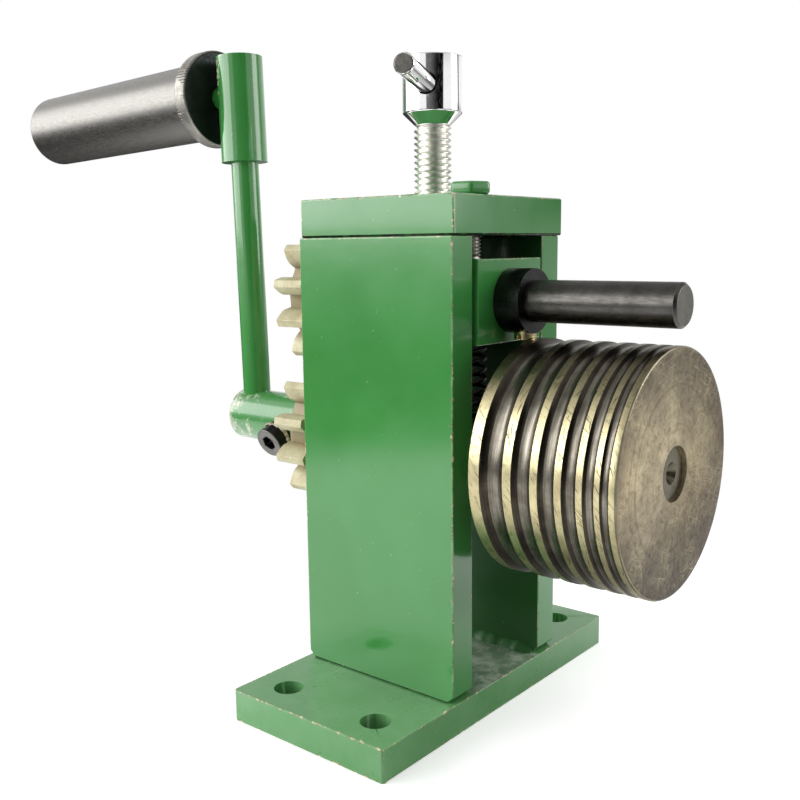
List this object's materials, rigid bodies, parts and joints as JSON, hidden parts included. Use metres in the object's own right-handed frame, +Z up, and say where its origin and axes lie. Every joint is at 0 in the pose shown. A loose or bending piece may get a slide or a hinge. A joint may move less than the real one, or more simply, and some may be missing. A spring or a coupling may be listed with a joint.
{
  "type": "bracelet rolling mill",
  "caption": "Hand cranked bench mill that rolls bracelet blanks between a plain shaft and a grooved roll geared together under a press screw.",
  "frame": {"origin": "middle of the underside of the base plate", "axes": "+X across the side plates to the right, +Y along the shafts from the grooved roll to the crank, +Z up"},
  "size_m": [0.148, 0.3496, 0.2597],
  "materials": {
    "green_paint": "glossy green enamel",
    "bright_steel": "bare turned steel",
    "dark_steel": "black oxide steel",
    "bronze": "oiled bearing bronze",
    "chrome": "bright chrome plate",
    "zinc_steel": "yellow zinc plate",
    "cast_gear": "dull pale cast brass",
    "roll_steel": "worn turned steel with a brownish film",
    "grip_steel": "satin dark grey lacquer"
  },
  "bodies": {
    "frame": {"base_plate": "green_paint", "left_side_plate": "green_paint", "right_side_plate": "green_paint", "frame_welds": "green_paint", "top_plate": "green_paint", "top_plate_screws": "bright_steel", "guide_bolt": "green_paint", "lower_bearing_block": "dark_steel", "lower_bush": "bronze", "return_springs": "bright_steel"},
    "upper_block": {"upper_bearing_block": "green_paint", "upper_bush": "bronze"},
    "press": {"press_screw": "chrome", "tommy_bar": "chrome"},
    "upper_roll": {"upper_shaft": "dark_steel", "front_collar": "dark_steel", "collar_screw": "zinc_steel", "rear_spacer": "dark_steel", "upper_gear": "cast_gear", "upper_gear_key": "bright_steel", "upper_end_washer": "zinc_steel", "upper_end_screw": "dark_steel"},
    "crank": {"lower_shaft": "bright_steel", "grooved_roll": "roll_steel", "front_spacer": "dark_steel", "lower_rear_spacer": "dark_steel", "lower_gear": "cast_gear", "lower_gear_key": "bright_steel", "crank_hub": "green_paint", "clamp_screw": "dark_steel", "crank_arm": "green_paint", "arm_socket": "green_paint", "grip_pin": "green_paint", "grip_end_washer": "zinc_steel", "grip_end_screw": "dark_steel"},
    "handle": {"hand_grip": "grip_steel"}
  },
  "joints": [
    {"name": "block_slide", "type": "slide", "parent": "frame", "child": "upper_block", "axis": [0, 0, 1], "range_m": [-0.0012, 0.0045], "deforming": ["return_springs"]},
    {"name": "screw_turn", "type": "hinge", "parent": "upper_block", "child": "press", "pos_m": [0, -0.0015, 0.2], "axis": [0, 0, 1], "range_deg": [-192.1, 720.1]},
    {"name": "crank_turn", "type": "hinge", "parent": "frame", "child": "crank", "pos_m": [0, 0, 0.099], "axis": [0, 1, 0], "continuous": true},
    {"name": "upper_shaft_turn", "type": "hinge", "parent": "upper_block", "child": "upper_roll", "pos_m": [0, 0, 0.154], "axis": [0, 1, 0], "continuous": true},
    {"name": "grip_turn", "type": "hinge", "parent": "crank", "child": "handle", "pos_m": [0, 0.10317, 0.23934], "axis": [0, 0.9996, -0.0297], "continuous": true}
  ],
  "couplings": [
    {"joint": "screw_turn", "follows": "block_slide", "rad_per_m": 2792.5},
    {"joint": "upper_shaft_turn", "follows": "crank_turn", "ratio": -1.0833}
  ]
}
